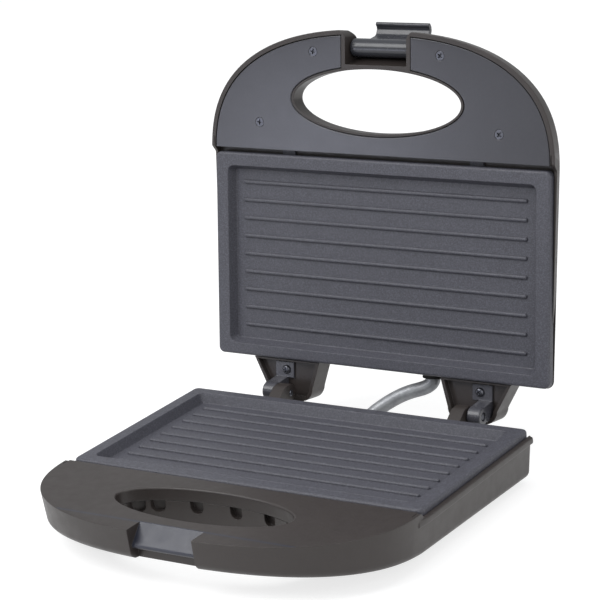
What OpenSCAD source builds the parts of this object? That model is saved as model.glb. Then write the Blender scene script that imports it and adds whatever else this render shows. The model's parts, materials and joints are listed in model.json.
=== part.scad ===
// Sandwich toaster with two ribbed cooking plates, a lid on two rear hinges and a flip-over latch.
// Base pieces are drawn closed: X to the right, Y to the back, Z up, with Z = 0 on the parting plane
// and Y = 0 at the rear edge of the lower plate. Lid pieces are drawn the same way, inner face up,
// and lid_pose() turns them over and swings them open. "v" is the distance from the plates' rear
// edge towards the handle, and "depth" is the distance from the inner face towards the outside.

/* [Cooking plates] */
// Width of a cooking plate
plate_w = 228; // [210:1:245]
// Depth of a cooking plate, from the hinge side to the handle side
plate_d = 125.4; // [120:0.2:126]
// Corner radius of a cooking plate
plate_corner_r = 6; // [3:0.5:9]
// Height of the flange edge that shows round a plate
plate_edge_h = 5.1; // [4:0.1:6]
// Thickness of the cast plate
plate_t = 2.4; // [1.6:0.1:3]
// Width of the flat flange at the left and right
flange_side_w = 9; // [8.5:0.5:14]
// Width of the flat flange at the hinge side
flange_rear_w = 7.4; // [7:0.2:10]
// Width of the flat flange at the handle side
flange_front_w = 8.2; // [7:0.2:10]
// Depth of the cooking cavity
cavity_depth = 6; // [4.5:0.5:7]
// Distance that the cavity walls slope inwards
cavity_slope = 3.5; // [2:0.5:5]
// Corner radius of the cooking cavity
cavity_corner_r = 7; // [6:0.5:10]
// Number of ribs on a plate
rib_count = 9; // [5:1:9]
// Distance from the cavity's rear edge to the first rib
rib_rear_gap = 11.2; // [9:0.2:13]
// Distance from the last rib to the cavity's front edge
rib_front_gap = 10.2; // [9:0.2:13]
// Distance from the ends of the ribs to the cavity's sides
rib_side_gap = 8; // [7:0.5:20]
// Width of a rib
rib_w = 2.6; // [2:0.2:4]
// Height of a rib above the cavity floor
rib_h = 1.6; // [1:0.1:1.8]

/* [Housings] */
// Width of both housings at the parting plane
body_w = 233.2; // [233:0.2:242]
// Distance from the plates' front edge to the tip of the handle
handle_length = 76.6; // [75:0.2:86]
// Distance behind the plates' front edge where the rounded handle starts
shoulder_back = 0.4; // [0:0.1:3]
// Roundness of the handle outline, where 2 is an ellipse and more is squarer
outline_power = 2.47; // [2.2:0.01:2.8]
// Distance that the housings reach behind the plates
rear_margin = 1.8; // [1.6:0.1:3]
// Radius of the rear corners of the housings
rear_corner_r = 8; // [6:0.5:12]
// Wall thickness of the housings
wall = 2.4; // [2:0.1:2.8]
// Inward slope of the side walls for each millimetre of depth
draft = 0.1; // [0.05:0.01:0.12]
// Radius of the outer bottom edge of a housing
edge_r = 4.5; // [3.5:0.5:5]
// Depth of a housing at the hinge side
depth_rear = 29.2; // [28.5:0.1:32]
// Depth of a housing where the handle starts
depth_shoulder = 25.8; // [25.4:0.1:28]
// Depth of a housing at the tip of the handle
depth_tip = 17.4; // [17.2:0.1:19]
// Depth of the rim beside the plates below the parting plane
rim_drop = 7.4; // [7.2:0.1:9]
// Distance from the plates' front edge to the step from the handle down to the rim
step_gap = 2.8; // [2.4:0.1:4]
// Length of the rounded step at the sides
step_length = 5.5; // [4:0.5:7]
// Distance that the rim bead stands proud of the side walls
bead_proud = 1.6; // [1:0.1:2.5]
// Height of the rim bead
bead_h = 3.2; // [2:0.2:5]
// Gap between the two inner faces when the lid is closed
closed_gap = 1; // [0.6:0.1:2]
// Opening angle of the lid
lid_open_angle = 98.6; // [90:0.1:100]

/* [Handle] */
// Distance from the plates' front edge to the middle of the oval finger hole
oval_offset = 34.6; // [34:0.2:36]
// Half width of the oval collar
oval_half_w = 58.3; // [50:0.1:60]
// Half height of the oval collar
oval_half_h = 20.4; // [18:0.1:20.8]
// Wall thickness of the oval collar at the inner face
collar_t = 3.4; // [2.4:0.1:4]
// Height of the collar wall inside the base
base_collar_h = 8; // [6:0.5:9]
// Depth of the slotted deck below the base handle
deck_depth = 12; // [11:0.5:12.6]
// Width of the slots in the deck
deck_slot_w = 9; // [6:0.5:11]
// Distance between the deck slots
deck_slot_pitch = 24; // [20:1:26]
// Thickness of the handle cover and of the bottom cover
cover_t = 2.2; // [1.8:0.1:2.4]
// Width of the housing edge that shows round the handle cover
handle_edge_w = 2.8; // [2.4:0.1:3.2]
// Gap between neighbouring covers and edges
seam = 0.4; // [0.3:0.05:0.6]

/* [Hinge] */
// Distance of the hinge axis behind the plates' rear edge
hinge_back = 19.05; // [18.6:0.05:20]
// Depth of the hinge axis below the parting plane
hinge_depth = 4.37; // [4.2:0.01:4.6]
// Radius of the hinge knuckles
knuckle_r = 5.5; // [4.8:0.1:5.6]
// Length of a hinge knuckle
knuckle_length = 10.5; // [9:0.5:10.5]
// Distance of the split between the knuckles from the middle of the toaster
knuckle_split_x = 66.2; // [65.8:0.2:67]
// Gap between the two knuckles of a hinge
knuckle_gap = 0.5; // [0.3:0.1:0.8]
// Radius of a hinge pin
hinge_pin_r = 2; // [1.5:0.1:2.4]
// Radial clearance round the pins
pin_clearance = 0.05; // [0.03:0.01:0.09]
// Inner edge of a hinge ear, measured from the middle of the toaster
ear_x0 = 42; // [41:0.5:44]
// Outer edge of a hinge ear
ear_x1 = 88.5; // [87:0.5:92]
// Distance that a hinge ear reaches behind the plates' rear edge
ear_reach = 25.4; // [25.2:0.1:27]
// Distance that the sides of an ear lean in
ear_taper = 5; // [3:0.5:6]
// Corner radius of an ear
ear_corner_r = 8; // [5:0.5:9]
// Depth of the open edge of an ear
ear_depth0 = 2.4; // [2:0.1:4]
// Depth of the closed back of an ear
ear_depth1 = 18; // [17:0.5:20]

/* [Latch] */
// Distance of the latch axis behind the tip of the handle
latch_back = 11.4; // [11:0.1:11.6]
// Depth of the latch axis
latch_depth = 10; // [9.8:0.1:10.2]
// Radius of the latch barrel
latch_barrel_r = 5; // [4:0.1:5.1]
// Radius of the latch pin
latch_pin_r = 1.6; // [1.2:0.1:2]
// Half width of the gap for the latch in both handles
notch_half_w = 20.7; // [20:0.1:24]
// Half width of the latch arm
latch_half_w = 18; // [14:0.5:19]
// Thickness of the latch arm
latch_t = 2.5; // [2:0.1:2.6]
// Turn of the latch from closed to flipped back
latch_turn = 136; // [120:1:136]
// Distance from the latch axis back to the rear wall of the latch gap
gap_back = 9.4; // [8.6:0.1:9.6]
// Radius of the lip that the latch hooks under
lip_r = 1.7; // [1.2:0.1:1.8]

/* [Inside] */
// Diameter of the heating element tube
element_d = 6.6; // [6:0.1:7]
// Distance of the heating element's legs from the front and rear edges of the cavity
element_edge_gap = 26.9; // [24.9:0.1:32.9]
// Distance of the element legs' ends from the plate's side edges
element_side_gap = 38; // [34:1:48]
// Distance of the reflector studs from the middle of the plate
stud_x = 35; // [28:1:40]
// Thickness of the element clamps
clamp_t = 1.5; // [1:0.1:2]
// Thickness of the reflector sheet
reflector_t = 0.8; // [0.5:0.1:1.2]
// Radius of the screw shanks
screw_r = 1.5; // [1.2:0.1:1.7]
// Radius of the screw heads
head_r = 2.75; // [2.4:0.05:2.9]
// Height of the screw heads
head_h = 1.8; // [1.4:0.1:2]
// Radius of the wire conduit between the housings
conduit_r = 4.3; // [3.5:0.1:4.5]
// Distance of the mains cord inlet from the middle of the toaster
inlet_x = -36; // [-37:0.5:-35]
// Depth of the mains cord inlet
inlet_depth = 17; // [16:0.5:17.5]
// Radius of the hole through the cord gland
inlet_r = 3.7; // [3:0.1:4.2]
// Length of the cord gland
gland_length = 14; // [10:1:18]

/* [Feet] */
// Radius of a rubber foot
foot_r = 7; // [5:0.5:8]
// Height of a rubber foot
foot_h = 4.6; // [4:0.1:6]
// Distance of the feet from the sides of the base
foot_side_gap = 28.6; // [28.6:0.2:46]
// Distance of the rear feet from the plates' rear edge
foot_rear_v = 18; // [17.5:0.5:24]
// Distance of the front feet from the plates' front edge
foot_front_gap = 11.4; // [9.4:0.2:25]
// Depth of the floor that the feet stand on
floor_depth = 32.4; // [32:0.1:36]

/* [Hidden] */
$fn = 48;

// Colours
housing_grey = [0.29, 0.28, 0.29];
cover_grey = [0.38, 0.40, 0.44];
plate_grey = [0.33, 0.34, 0.37];
dark_grey = [0.2, 0.2, 0.21];
steel = [0.72, 0.73, 0.75];
sleeve_grey = [0.78, 0.8, 0.83];
rubber_black = [0.08, 0.08, 0.08];
ceramic_white = [0.85, 0.84, 0.8];

eps = 0.01;
through = 60; // longer than any wall that a cut has to pass
half_w = body_w / 2;
shoulder_v = plate_d - shoulder_back;
handle_reach = plate_d + handle_length;
step_v = plate_d + step_gap;
oval_v = plate_d + oval_offset;
latch_v = handle_reach - latch_back;
gap_rear_v = latch_v - gap_back;
foot_x = half_w - foot_side_gap;
foot_front_v = plate_d - foot_front_gap;
element_half_l = plate_w / 2 - element_side_gap;
cavity_half_w = plate_w / 2 - flange_side_w;
cavity_rear_v = flange_rear_w;
cavity_front_v = plate_d - flange_front_w;
plate_mid_v = (cavity_rear_v + cavity_front_v) / 2;
rib_first_v = cavity_rear_v + rib_rear_gap;
rib_pitch = (cavity_front_v - rib_front_gap - rib_first_v) / (rib_count - 1);
rib_length = 2 * (cavity_half_w - rib_side_gap);
element_span = cavity_front_v - cavity_rear_v - 2 * element_edge_gap;
tub_depth = cavity_depth + plate_t;
ledge_bottom = rim_drop + wall;
ledge_gap = 0.6;
sill_end_v = step_v + 7.8;
pin_hole_r = hinge_pin_r + pin_clearance;
screw_hole_r = screw_r + 0.1;
screw_pass_r = screw_r + 0.2;

// Front lugs and rear hooks that hold a plate in its housing
lug_x = 64;
lug_w = 8.6;
lug_t = 1.8;
lug_end_v = step_v + 6.4;
lug_screw_v = step_v + 2.9;
hook_w = 12;

// Stack below a plate: element, clamp, reflector, screw head
element_depth = tub_depth + element_d / 2;
clamp_depth0 = tub_depth + element_d;
clamp_depth1 = clamp_depth0 + clamp_t;
reflector_depth = clamp_depth1 + reflector_t;
reflector_half_w = cavity_half_w - 13;
reflector_v0 = cavity_rear_v + 14.6;
reflector_v1 = cavity_front_v - 14.2;
reflector_top = tub_depth + 1.2;

// Covers and seats in the base
cover_inset = edge_r + 2.9;
cover_boss_x = half_w - 17.6;
cover_boss_r = 3.6;
cover_boss_v = [14, plate_d - 14.4];
seat_r = foot_r + 1.6;
seat_recess = 1.5;
riser_v = shoulder_v + 4; // where the flat cover steps up to the slotted deck
slot_end_v = oval_v - 13;
vent_v = [plate_mid_v - 12.3, plate_mid_v + 17.7];
vent_pitch = 18;
vent_half_l = 8;
vent_r = 1.5;
clamp_v = 14;
clamp_screw_x = 8;

side_screw = [half_w - 35.3, step_v + 16.4];
tip_screw = [42.9, handle_reach - 13.9];
cover_screws = [
    [-side_screw[0], side_screw[1]], [-tip_screw[0], tip_screw[1]], tip_screw, side_screw
];
lens_r = 3.6;
lens_x = 12;
lens_v = plate_d - 13.4;

// Hooks and arms of the latch, from its axis: distance to the front and depth, in the closed pose
latch_path = [[0, 0], [10.6, -17], [10.4, -22.5], [8.6, -24.5], [6.6, -24.9]];

// Route of the wire conduit between the rear walls, at the open rest pose
conduit_base = [-6, -17];
conduit_lid = [31, 14.2];
conduit_route = [
    [-6, 4, -17], [-6, 12, -17], [-5, 18, -15.5], [-1, 23, -11.5], [5, 27.5, -7], [12, 31.5, -3],
    [18, 34.6, -0.6], [23.6, 37.2, 0.9], [27, 38.7, 2.2], [29.3, 39.7, 3.9], [30.6, 40.3, 5.9],
    [31, 40.65, 7.8]
];
boss_r = 6.6;

// Place of the closed frame in the part's own frame: the origin is below the middle of the open
// toaster, on the surface that the feet stand on.
hinge_y = hinge_back;
hinge_z = -hinge_depth;
latch_tip_y = max([for (p = latch_path) open_point(latch_point(p))[0]]) + latch_t / 2;
front_v = shoulder_v + (handle_reach - shoulder_v)
    * pow(1 - pow(notch_half_w / half_w, outline_power), 1 / outline_power);
middle_y = (latch_tip_y - front_v) / 2;

// A point (v, depth) of the lid in the open pose, as [y, z] of the closed frame
function open_point(p) =
    let (dy = -p[0] - hinge_y, dz = p[1] + closed_gap - hinge_z)
    [
        hinge_y + dy * cos(lid_open_angle) + dz * sin(lid_open_angle),
        hinge_z - dy * sin(lid_open_angle) + dz * cos(lid_open_angle)
    ];

// A point of the flipped-back latch as (v, depth) of the lid
function latch_point(p) = [
    latch_v + p[0] * cos(latch_turn) - p[1] * sin(latch_turn),
    latch_depth + p[0] * sin(latch_turn) + p[1] * cos(latch_turn)
];

module place() {
    translate([0, -middle_y, floor_depth]) children();
}

module lid_pose() {
    place()
        translate([0, hinge_y, hinge_z])
        rotate([-lid_open_angle, 0, 0])
        translate([0, -hinge_y, closed_gap - hinge_z])
        mirror([0, 0, 1])
        children();
}

// Extrudes a profile, drawn as (v, depth), across the toaster
module across(width) {
    rotate([-90, 0, -90]) translate([0, 0, -width / 2]) linear_extrude(width) children();
}

// A cylinder along X, its axis at (v, depth)
module cross_cylinder(v, depth, radius, x0, x1) {
    translate([x0, -v, -depth]) rotate([0, 90, 0]) cylinder(r = radius, h = x1 - x0);
}

// A cylinder along Y that runs back from y0 to y1
module back_cylinder(x, depth, radius, y0, y1) {
    translate([x, y1, -depth]) rotate([90, 0, 0]) cylinder(r = radius, h = y1 - y0);
}

// A cylinder along Z between two depths
module post(x, v, radius, depth0, depth1) {
    translate([x, -v, -depth1]) cylinder(r = radius, h = depth1 - depth0);
}

// A block between two values of x, v and depth
module block(x0, x1, v0, v1, depth0, depth1) {
    translate([x0, -v1, -depth1]) cube([x1 - x0, v1 - v0, depth1 - depth0]);
}

// A slab with rounded corners between two depths
module rounded_slab(half_x, v0, v1, radius, depth0, depth1) {
    translate([0, 0, -depth1]) linear_extrude(depth1 - depth0) rounded_outline(half_x, v0, v1, radius);
}

module rounded_outline(half_x, v0, v1, radius) {
    translate([-half_x + radius, -v1]) square([2 * (half_x - radius), v1 - v0]);
    translate([-half_x, -v1 + radius]) square([2 * half_x, v1 - v0 - 2 * radius]);
    for (x = [-1, 1], v = [v0 + radius, v1 - radius])
        translate([x * (half_x - radius), -v]) circle(r = radius);
}

// A screw with a domed head: the head stands on depth 0 and the shank runs to shank_length
module screw(shank_length) {
    rotate_extrude() polygon([
        [0, head_h], [head_r * 0.55, head_h], [head_r * 0.85, head_h * 0.75], [head_r, head_h * 0.35],
        [head_r, 0], [screw_r, 0], [screw_r, -shank_length], [0, -shank_length]
    ]);
}

/* Housing form */

// Outline of a housing, right half, from the rear corner to the tip, moved in by "inset"
corner_steps = 5;
front_steps = 22;
outline_steps = corner_steps + front_steps;

function outline(i, inset) = i <= corner_steps
    ? let (r = max(rear_corner_r - inset, 1), a = 90 * i / corner_steps)
        [half_w - inset - r + r * sin(a), -rear_margin + inset + r - r * cos(a)]
    : let (a = 90 * pow((i - corner_steps - 1) / (front_steps - 1), 1.4), p = 2 / outline_power)
        [
            (half_w - inset) * pow(max(cos(a), 0), p),
            shoulder_v + (handle_reach - shoulder_v - inset) * pow(sin(a), p)
        ];

// Depth of the outer face at distance v
function face_depth(v) = v < shoulder_v
    ? depth_rear + (depth_shoulder - depth_rear) * v / shoulder_v
    : depth_shoulder + (depth_tip - depth_shoulder) * (v - shoulder_v) / (handle_reach - shoulder_v);

// A ring is [inset, from_face, value]: its depth is "value", or "value" above the outer face
function ring_depth(ring, v) = ring[1] ? face_depth(v) - ring[2] : ring[2];

function ring_point(ring, i) =
    let (d = ring_depth(ring, outline(i, ring[0])[1]), q = outline(i, ring[0] + draft * d))
    [q[0], -q[1], -ring_depth(ring, q[1])];

function ring_points(ring) = [
    for (i = [0:outline_steps]) ring_point(ring, i),
    for (i = [outline_steps - 1:-1:0]) let (p = ring_point(ring, i)) [-p[0], p[1], p[2]]
];

// Cap of a ring as strips from the right side to the left
function cap(first, up) = [
    for (i = [0:outline_steps - 2])
        for (f = [[i, i + 1, 2 * outline_steps - i - 1], [i, 2 * outline_steps - i - 1, 2 * outline_steps - i]])
            up ? [first + f[0], first + f[1], first + f[2]] : [first + f[2], first + f[1], first + f[0]],
    let (f = [outline_steps - 1, outline_steps, outline_steps + 1])
        up ? [first + f[0], first + f[1], first + f[2]] : [first + f[2], first + f[1], first + f[0]]
];

// Solid through a list of rings, from the inner face to the outer one
module loft(rings) {
    count = 2 * outline_steps + 1;
    points = [for (ring = rings) each ring_points(ring)];
    sides = [
        for (k = [0:len(rings) - 2], i = [0:count - 1])
            let (a = k * count + i, b = k * count + (i + 1) % count, c = a + count, d = b + count)
                each [[a, c, b], [b, c, d]]
    ];
    faces = concat(cap(0, true), sides, cap((len(rings) - 1) * count, false));
    polyhedron(points = points, faces = faces);
}

// Rings of the rounded outer edge, for a surface "gap" inside the outer one
function edge_rings(gap) = [
    for (a = [0, 30, 60, 90])
        [edge_r - (edge_r - gap) * cos(a), true, edge_r - (edge_r - gap) * sin(a)]
];

// S-shaped profile of the handle's end, for cutting the space above the rim
module rim_cut(drop, v_end, length) {
    steps = 10;
    across(2 * body_w) polygon(concat(
        [[-through, -through], [-through, drop]],
        [for (i = [0:steps]) let (t = i / steps) [v_end + length * t, drop * (1 - t * t * (3 - 2 * t))]],
        [[v_end + length, -through]]
    ));
}

// Oval of the finger hole, moved in by "inset"
module oval(inset) {
    steps = 64;
    polygon([
        for (i = [0:steps - 1])
            let (a = 360 * i / steps)
                [(oval_half_w - inset) * cos(a), -oval_v + (oval_half_h - inset) * sin(a)]
    ]);
}

module oval_tube(inset_outer, inset_inner, depth0, depth1) {
    translate([0, 0, -depth1]) linear_extrude(depth1 - depth0) difference() {
        oval(inset_outer);
        oval(inset_inner);
    }
}

// Space between the parting plane and the middle of the outer wall, where inner walls may end
module under_roof() {
    across(2 * body_w) polygon([
        [-rear_margin, 0], [-rear_margin, face_depth(-rear_margin) - wall / 2],
        [shoulder_v, face_depth(shoulder_v) - wall / 2],
        [handle_reach, face_depth(handle_reach) - wall / 2], [handle_reach, 0]
    ]);
}

// Outer form of a housing half: rounded shell, rim step and side beads
module outer_form() {
    difference() {
        loft(concat([[0, false, 0]], edge_rings(0)));
        rim_cut(rim_drop, step_v + 1.2, step_length);
    }
    for (side = [-1, 1]) side_bead(side);
    block(-plate_w / 2, plate_w / 2, step_v, step_v + step_length + 2, 0, rim_drop);
}

module side_bead(side) {
    bead_w = 3.4;
    bead_x = half_w - draft * rim_drop + bead_proud - bead_w;
    translate([side * (bead_x + bead_w / 2), 0, -rim_drop - bead_h]) linear_extrude(bead_h) {
        translate([-bead_w / 2, -step_v - 1]) square([bead_w, step_v + 1 - rear_corner_r]);
        translate([0, -rear_corner_r]) circle(r = bead_w / 2);
    }
}

// Hollow inside of a housing half, below its ledge, sill and handle wall
module inner_form(rings) {
    difference() {
        loft(rings);
        across(2 * body_w) polygon([
            [-through, -through], [-through, ledge_bottom], [sill_end_v, ledge_bottom],
            [sill_end_v, -through]
        ]);
    }
}

// Window for a plate's underside through the ledge
module plate_window() {
    rounded_slab(cavity_half_w + ledge_gap, cavity_rear_v - ledge_gap, cavity_front_v + ledge_gap,
        cavity_corner_r, rim_drop - 1, ledge_bottom + 1);
}

// Slots in the sill that take the plate's front lugs
module lug_pockets(depth0) {
    for (side = [-1, 1])
        block(side * lug_x - lug_w / 2 - seam, side * lug_x + lug_w / 2 + seam, step_v - 1,
            lug_end_v + seam, depth0, rim_drop);
}

/* Base */

// Profile of the latch gap in the base: ramp, rounded lip and undercut
notch_ramp_v = 189.2;
lip_v = 196.6;
lip_depth = 10.3;
undercut_v = 193.2;

module base_notch_profile() {
    polygon(concat(
        [[notch_ramp_v, -1], [notch_ramp_v, 0]],
        arc_points(lip_v, lip_depth, lip_r, -45, 90, 8),
        [[undercut_v, lip_depth + lip_r + 0.6], [undercut_v, through], [handle_reach + 20, through],
            [handle_reach + 20, -1]]
    ));
}

module base_housing() {
    place() color(housing_grey) difference() {
        union() {
            difference() {
                outer_form();
                inner_form(concat([[wall, false, wall]], edge_rings(wall),
                    [[cover_inset - seam, true, wall], [cover_inset - seam, true, -5]]));
                plate_window();
            }
            oval_tube(0, collar_t, eps, base_collar_h);
            for (side = [-1, 1]) {
                hinge_arm(side);
                for (v = cover_boss_v) cover_boss(side, v);
            }
            back_cylinder(inlet_x, inlet_depth, boss_r + 2, -4, 2);
            back_cylinder(conduit_base[0], -conduit_base[1], boss_r, -4, 2);
            across(2 * notch_half_w + 2 * wall) polygon([
                [notch_ramp_v - 3, eps], [199, eps], [199, 12], [undercut_v + 0.5, 14],
                [undercut_v, 17.6], [undercut_v - wall, 17.6], [undercut_v - wall, 10]
            ]);
        }
        translate([0, 0, -wall - 1]) linear_extrude(wall + 2) oval(collar_t);
        across(2 * notch_half_w) base_notch_profile();
        lug_pockets(wall);
        for (side = [-1, 1]) {
            post(side * lug_x, lug_screw_v, screw_pass_r, rim_drop - 1, ledge_bottom + 1);
            cross_cylinder(-hinge_y, -hinge_z, pin_hole_r, side * knuckle_split_x - through / 2,
                side * knuckle_split_x + through / 2);
            for (v = cover_boss_v)
                post(side * cover_boss_x, v, screw_hole_r, ledge_bottom + 6, through);
        }
        back_cylinder(inlet_x, inlet_depth, inlet_r + 1.7, -10, 10);
        back_cylinder(conduit_base[0], -conduit_base[1], conduit_r + 1.3, -10, 10);
    }
}

// Arm and knuckle behind the base, on the inner side of each hinge
module hinge_arm(side) {
    x1 = knuckle_split_x - knuckle_gap / 2;
    x0 = x1 - knuckle_length;
    mirror([side < 0 ? 1 : 0, 0, 0]) {
        cross_cylinder(-hinge_y, -hinge_z, knuckle_r, x0, x1);
        translate([(x0 + x1) / 2, 0, 0]) across(knuckle_length) polygon([
            [-hinge_y, -hinge_z - knuckle_r], [-hinge_y + 6, -hinge_z - knuckle_r + 0.4],
            [0, rim_drop + 1], [0.8, 24], [-4, 23], [-hinge_y, -hinge_z + knuckle_r]
        ]);
    }
}

// Screw boss of the bottom cover, with the rib that ties it to the side wall
module cover_boss(side, v) {
    bottom = face_depth(v) - cover_t - 0.1;
    wall_x = half_w - draft * 15 - wall;
    post(side * cover_boss_x, v, cover_boss_r, ledge_bottom + 0.4, bottom);
    mirror([side < 0 ? 1 : 0, 0, 0])
        block(cover_boss_x, wall_x + 1, v - 1, v + 1, ledge_bottom - 1, bottom - 6);
}

module bottom_cover() {
    floor_rear = face_depth(-rear_margin) - cover_t;
    floor_front = face_depth(shoulder_v) - cover_t;
    place() color(housing_grey) difference() {
        union() {
            difference() {
                loft([[cover_inset, false, deck_depth], [cover_inset, true, 0]]);
                across(2 * body_w) polygon([
                    [-through, 0], [riser_v, 0],
                    [riser_v, floor_front + (floor_front - floor_rear) * (riser_v - shoulder_v) / shoulder_v],
                    [-through, floor_rear + (floor_rear - floor_front) * through / shoulder_v]
                ]);
                intersection() {
                    loft([[cover_inset + cover_t, false, deck_depth + cover_t],
                        [cover_inset + cover_t, true, -5]]);
                    across(2 * body_w) polygon([
                        [riser_v + cover_t, 0], [riser_v + cover_t, through], [handle_reach, through],
                        [handle_reach, 0]
                    ]);
                }
            }
            for (x = [-foot_x, foot_x], v = [foot_rear_v, foot_front_v])
                post(x, v, seat_r, face_depth(v) - cover_t, floor_depth - foot_h + seat_recess);
            for (side = [-1, 1])
                post(inlet_x + side * clamp_screw_x, clamp_v, 3, inlet_depth + 1.5,
                    face_depth(clamp_v) - cover_t + 0.2);
        }
        for (x = [-foot_x, foot_x], v = [foot_rear_v, foot_front_v])
            post(x, v, foot_r + 0.1, floor_depth - foot_h, through);
        for (side = [-1, 1], v = cover_boss_v)
            post(side * cover_boss_x, v, screw_pass_r, 10, through);
        for (side = [-1, 1])
            post(inlet_x + side * clamp_screw_x, clamp_v, screw_hole_r, inlet_depth, inlet_depth + 7);
        for (i = [-2:2]) deck_slot(i * deck_slot_pitch);
        for (i = [-3:3], v = vent_v) vent_slot(i * vent_pitch, v);
        block(-notch_half_w - wall - seam, notch_half_w + wall + seam, undercut_v - wall - seam,
            handle_reach, deck_depth - 1, through);
    }
}

module deck_slot(x) {
    slot_v0 = riser_v + cover_t + 1.5;
    slot_v1 = slot_end_v - deck_slot_w / 2;
    block(x - deck_slot_w / 2, x + deck_slot_w / 2, slot_v0, slot_v1, deck_depth - 1, deck_depth + cover_t + 1);
    post(x, slot_v1, deck_slot_w / 2, deck_depth - 1, deck_depth + cover_t + 1);
}

module vent_slot(x, v) {
    block(x - vent_r, x + vent_r, v - vent_half_l, v + vent_half_l, face_depth(v) - 6, through);
    for (end = [-1, 1]) post(x, v + end * vent_half_l, vent_r, face_depth(v) - 6, through);
}

module foot(x, v) {
    place() color(rubber_black) translate([x, -v, -floor_depth]) rotate_extrude() polygon([
        [0, 0], [foot_r - 1, 0], [foot_r, 1], [foot_r, foot_h], [0, foot_h]
    ]);
}

module bottom_cover_screws() {
    place() color(steel) for (side = [-1, 1], v = cover_boss_v)
        translate([side * cover_boss_x, -v, -face_depth(v) - 0.1]) rotate([180, 0, 0]) screw(8);
}

module cord_gland() {
    place() color(rubber_black) difference() {
        union() {
            back_cylinder(inlet_x, inlet_depth, inlet_r + 1.6, -5, gland_length - 5);
            back_cylinder(inlet_x, inlet_depth, 8, 2, 4);
            back_cylinder(inlet_x, inlet_depth, inlet_r + 3.2, -6.5, -4);
        }
        back_cylinder(inlet_x, inlet_depth, inlet_r, -10, gland_length);
    }
}

module cord_clamp() {
    place() color(dark_grey) difference() {
        block(inlet_x - 12, inlet_x + 12, 10.5, 17.5, inlet_depth - 1.5, inlet_depth + 1.5);
        for (side = [-1, 1])
            post(inlet_x + side * clamp_screw_x, clamp_v, screw_pass_r, 0, through);
    }
}

module cord_clamp_screws() {
    place() color(steel) for (side = [-1, 1])
        translate([inlet_x + side * clamp_screw_x, -clamp_v, -inlet_depth + 1.5]) screw(8);
}

module terminal_block() {
    block_x = 26;
    top = face_depth(14) - cover_t - 10;
    place() color(ceramic_white) difference() {
        block(block_x - 15, block_x + 15, 9.5, 19.5, top, face_depth(19.5) - cover_t);
        for (i = [-1:1]) post(block_x + i * 9, 14.5, 2, top - 1, top + 5);
    }
}

module grommet(x, depth) {
    color(rubber_black) difference() {
        union() {
            back_cylinder(x, depth, conduit_r + 1.2, -4.5, 3);
            back_cylinder(x, depth, boss_r, 2, 3.6);
        }
        back_cylinder(x, depth, conduit_r + 0.1, -10, 10);
    }
}

module base_conduit_grommet() {
    place() grommet(conduit_base[0], -conduit_base[1]);
}

// Sleeve for the wires to the lid: rings of points along its route
module wire_conduit() {
    sides = 12;
    count = len(conduit_route);
    directions = [
        for (i = [0:count - 1])
            let (d = conduit_route[min(i + 1, count - 1)] - conduit_route[max(i - 1, 0)]) d / norm(d)
    ];
    points = [
        for (i = [0:count - 1], k = [0:sides - 1])
            let (
                d = directions[i], u0 = cross(d, [0, 0.3, 1]), u = u0 / norm(u0), w = cross(d, u),
                a = 360 * k / sides
            )
            conduit_route[i] + conduit_r * (cos(a) * u + sin(a) * w)
    ];
    faces = [
        [for (k = [0:sides - 1]) k],
        for (i = [0:count - 2], k = [0:sides - 1])
            let (a = i * sides + k, b = i * sides + (k + 1) % sides)
                each [[a, a + sides, b], [b, a + sides, b + sides]],
        [for (k = [sides - 1:-1:0]) (count - 1) * sides + k]
    ];
    place() color(sleeve_grey) polyhedron(points = points, faces = faces);
}

/* Plates, elements and reflectors: drawn inner face up, for either half */

module cooking_plate() {
    color(plate_grey) {
        difference() {
            union() {
                rounded_slab(plate_w / 2, 0, plate_d, plate_corner_r, 0, plate_edge_h);
                rounded_slab(cavity_half_w, cavity_rear_v, cavity_front_v, cavity_corner_r, 0, tub_depth);
                for (side = [-1, 1]) {
                    block(side * lug_x - lug_w / 2, side * lug_x + lug_w / 2, plate_d - plate_t,
                        plate_d, 0, rim_drop);
                    block(side * lug_x - lug_w / 2, side * lug_x + lug_w / 2, plate_d - eps, lug_end_v,
                        rim_drop - lug_t, rim_drop);
                }
            }
            // hollow underside of the flange
            difference() {
                rounded_slab(plate_w / 2 - plate_t, plate_t, plate_d - plate_t, plate_corner_r - plate_t,
                    plate_t, plate_edge_h + 1);
                rounded_slab(cavity_half_w, cavity_rear_v, cavity_front_v, cavity_corner_r, 0, tub_depth);
            }
            hull() {
                rounded_slab(cavity_half_w, cavity_rear_v, cavity_front_v, cavity_corner_r, -1, 0);
                rounded_slab(cavity_half_w - cavity_slope, cavity_rear_v + cavity_slope,
                    cavity_front_v - cavity_slope, cavity_corner_r - 2, 0, cavity_depth);
            }
            for (side = [-1, 1]) post(side * lug_x, lug_screw_v, screw_pass_r, 0, rim_drop + 1);
        }
        for (i = [0:rib_count - 1]) rib(rib_first_v + i * rib_pitch);
        plate_underside();
    }
}

// Seats on the ledge, rear hooks and screw studs
module plate_underside() {
    pad_x = plate_w / 2 - plate_t - 2.2;
    for (side = [-1, 1]) {
        for (v = [12, plate_d - 12]) post(side * pad_x, v, 2.4, plate_t - eps, rim_drop);
        block(side * lug_x - hook_w / 2, side * lug_x + hook_w / 2, cavity_rear_v + 0.6,
            cavity_rear_v + 3.2, tub_depth - eps, ledge_bottom + 2.2);
        block(side * lug_x - hook_w / 2, side * lug_x + hook_w / 2, cavity_rear_v - 4,
            cavity_rear_v + 3.2, ledge_bottom + 0.3, ledge_bottom + 2.2);
        difference() {
            post(side * stud_x, plate_mid_v, 4, tub_depth - eps, clamp_depth0);
            post(side * stud_x, plate_mid_v, screw_hole_r, tub_depth + 0.6, clamp_depth0 + 1);
        }
    }
}

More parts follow.
